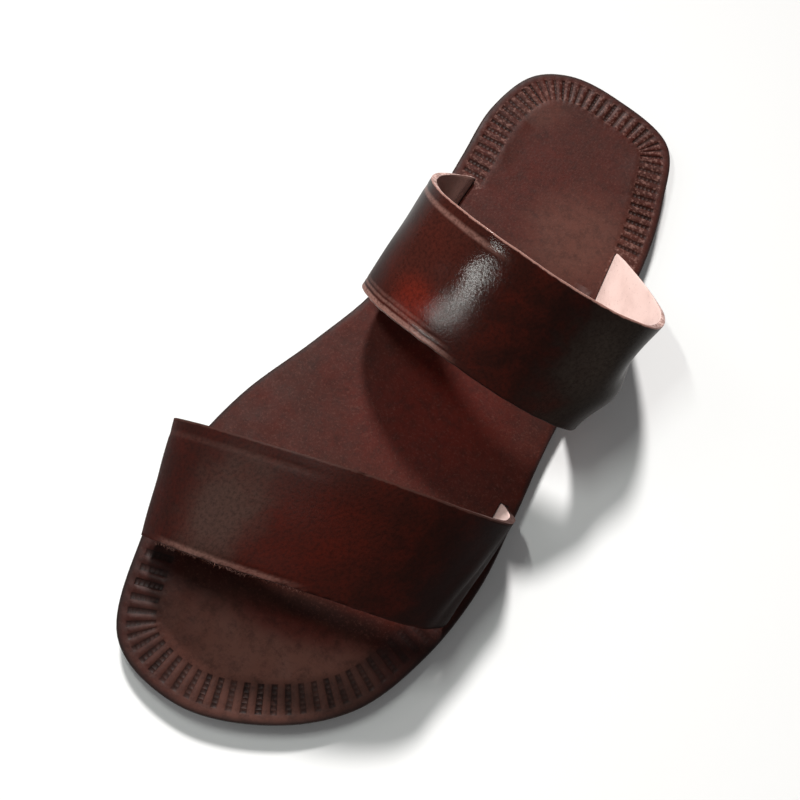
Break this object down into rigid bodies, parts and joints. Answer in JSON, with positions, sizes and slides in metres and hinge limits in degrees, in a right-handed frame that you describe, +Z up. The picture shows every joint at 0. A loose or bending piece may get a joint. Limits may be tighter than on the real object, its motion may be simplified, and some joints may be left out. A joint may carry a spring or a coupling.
{
  "type": "leather sandal",
  "caption": "Left slide sandal: flat outsole and leather insole of one outline, with wide leather straps over instep and toes that go down through slits in the insole.",
  "frame": {"origin": "on the outsole's flat underside, under the middle of the sole's length", "axes": "+Y from heel to toe, +X to the inner side of the foot, +Z up"},
  "size_m": [0.1201, 0.2802, 0.0575],
  "materials": {
    "strap_leather": "glossy dark oxblood leather",
    "insole_leather": "satin reddish brown leather",
    "sole_rubber": "matte black rubber"
  },
  "bodies": {
    "root": {"outsole": "sole_rubber", "insole": "insole_leather", "rear_strap": "strap_leather", "front_strap": "strap_leather"}
  },
  "joints": []
}
